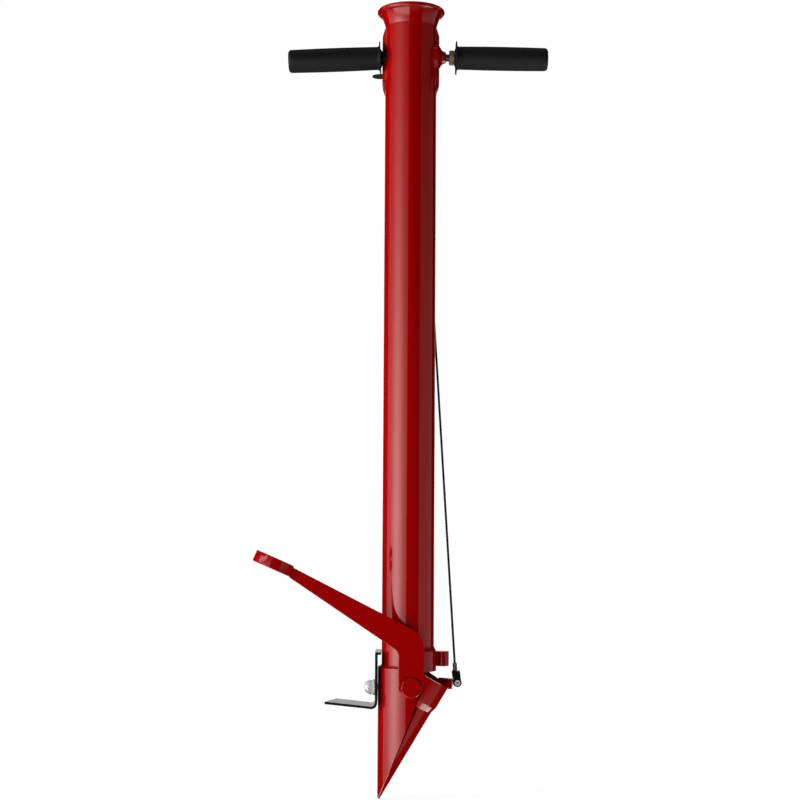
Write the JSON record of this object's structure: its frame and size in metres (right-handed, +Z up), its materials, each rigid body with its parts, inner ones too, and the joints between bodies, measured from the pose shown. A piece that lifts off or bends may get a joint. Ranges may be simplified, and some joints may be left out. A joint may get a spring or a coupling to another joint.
{
  "type": "planting tube",
  "caption": "Foot-operated planting tube with a flared mouth, hand grips, a pedal, a hinged beak that a cable and trigger hold, and a sliding depth stop.",
  "frame": {"origin": "centre of the tube's bore at its lower end", "axes": "+Z up along the tube towards its mouth, -X towards the pedal, -Y towards the side that carries the pedal arm"},
  "size_m": [0.3709, 0.1298, 1.0086],
  "materials": {
    "red_paint": "gloss paint",
    "black_metal": "satin black paint",
    "black_grip": "smooth moulded",
    "bright_steel": "zinc plated",
    "yellow_zinc": "yellow zinc plated",
    "bush_brass": "turned",
    "spring_steel": "oiled spring wire",
    "wire_rope": "stranded wire"
  },
  "bodies": {
    "frame": {"main_tube": "red_paint", "handle_saddle": "red_paint", "right_handle_boss": "red_paint", "fixed_jaw": "red_paint", "stop_bracket": "red_paint", "stop_boss": "red_paint", "near_pivot_cap": "red_paint", "far_spool": "red_paint", "trigger_boss": "red_paint", "left_grip": "black_grip", "right_grip": "black_grip", "right_stud": "bright_steel", "near_trunnion": "bright_steel", "far_trunnion": "bright_steel", "spring_anchor": "bright_steel", "trigger_bolt": "bright_steel", "trigger_washer": "bright_steel", "toggle_post": "bright_steel", "depth_stud": "bright_steel", "depth_washer": "bright_steel", "depth_cap_nut": "bright_steel", "left_handle_bar": "bright_steel", "right_handle_bar": "bright_steel", "right_jam_nut": "yellow_zinc", "closing_spring": "spring_steel"},
    "jaw": {"jaw_collar": "red_paint", "jaw_shell": "red_paint", "far_eye": "red_paint", "pedal_arm": "red_paint", "pedal_ring": "red_paint", "jaw_lug": "red_paint", "spring_catch": "bright_steel", "near_bush": "bush_brass", "far_bush": "bush_brass", "cable_eye_bolt": "bright_steel", "cable_eye_nut": "bright_steel"},
    "cable": {"cable": "wire_rope", "cable_ferrule": "bright_steel", "cable_clevis": "black_metal", "clevis_pin": "bright_steel", "cable_top_eye": "bright_steel"},
    "trigger": {"trigger_lever": "black_metal", "trigger_bush": "bush_brass", "cable_pin": "bright_steel", "toggle_pin": "bright_steel"},
    "toggle_spring": {"toggle_spring": "spring_steel"},
    "depth_stop": {"depth_stop": "black_metal"}
  },
  "joints": [
    {"name": "jaw_pivot", "type": "hinge", "parent": "frame", "child": "jaw", "pos_m": [0.0044, 0, -0.017], "axis": [0, -1, 0], "range_deg": [0, 19], "stiffness_Nm_per_rad": 3, "springref_deg": -28.65, "deforming": ["closing_spring"]},
    {"name": "cable_pivot", "type": "hinge", "parent": "jaw", "child": "cable", "pos_m": [0.0638, 0.027, -0.01765], "axis": [0, -1, 0], "range_deg": [-20, 1]},
    {"name": "trigger_pivot", "type": "hinge", "parent": "frame", "child": "trigger", "pos_m": [-0.0215, 0, 0.742], "axis": [0, -1, 0], "range_deg": [0, 31]},
    {"name": "toggle_swing", "type": "hinge", "parent": "frame", "child": "toggle_spring", "pos_m": [-0.0215, 0, 0.784], "axis": [0, -1, 0], "range_deg": [0, 9]},
    {"name": "depth_slide", "type": "slide", "parent": "frame", "child": "depth_stop", "axis": [0, 0, 1], "range_m": [-0.013, 0.0065]}
  ],
  "couplings": [
    {"joint": "cable_pivot", "follows": "jaw_pivot", "ratio": -1.0126},
    {"joint": "trigger_pivot", "follows": "jaw_pivot", "ratio": 1.5969},
    {"joint": "toggle_swing", "follows": "jaw_pivot", "ratio": 0.43884}
  ]
}
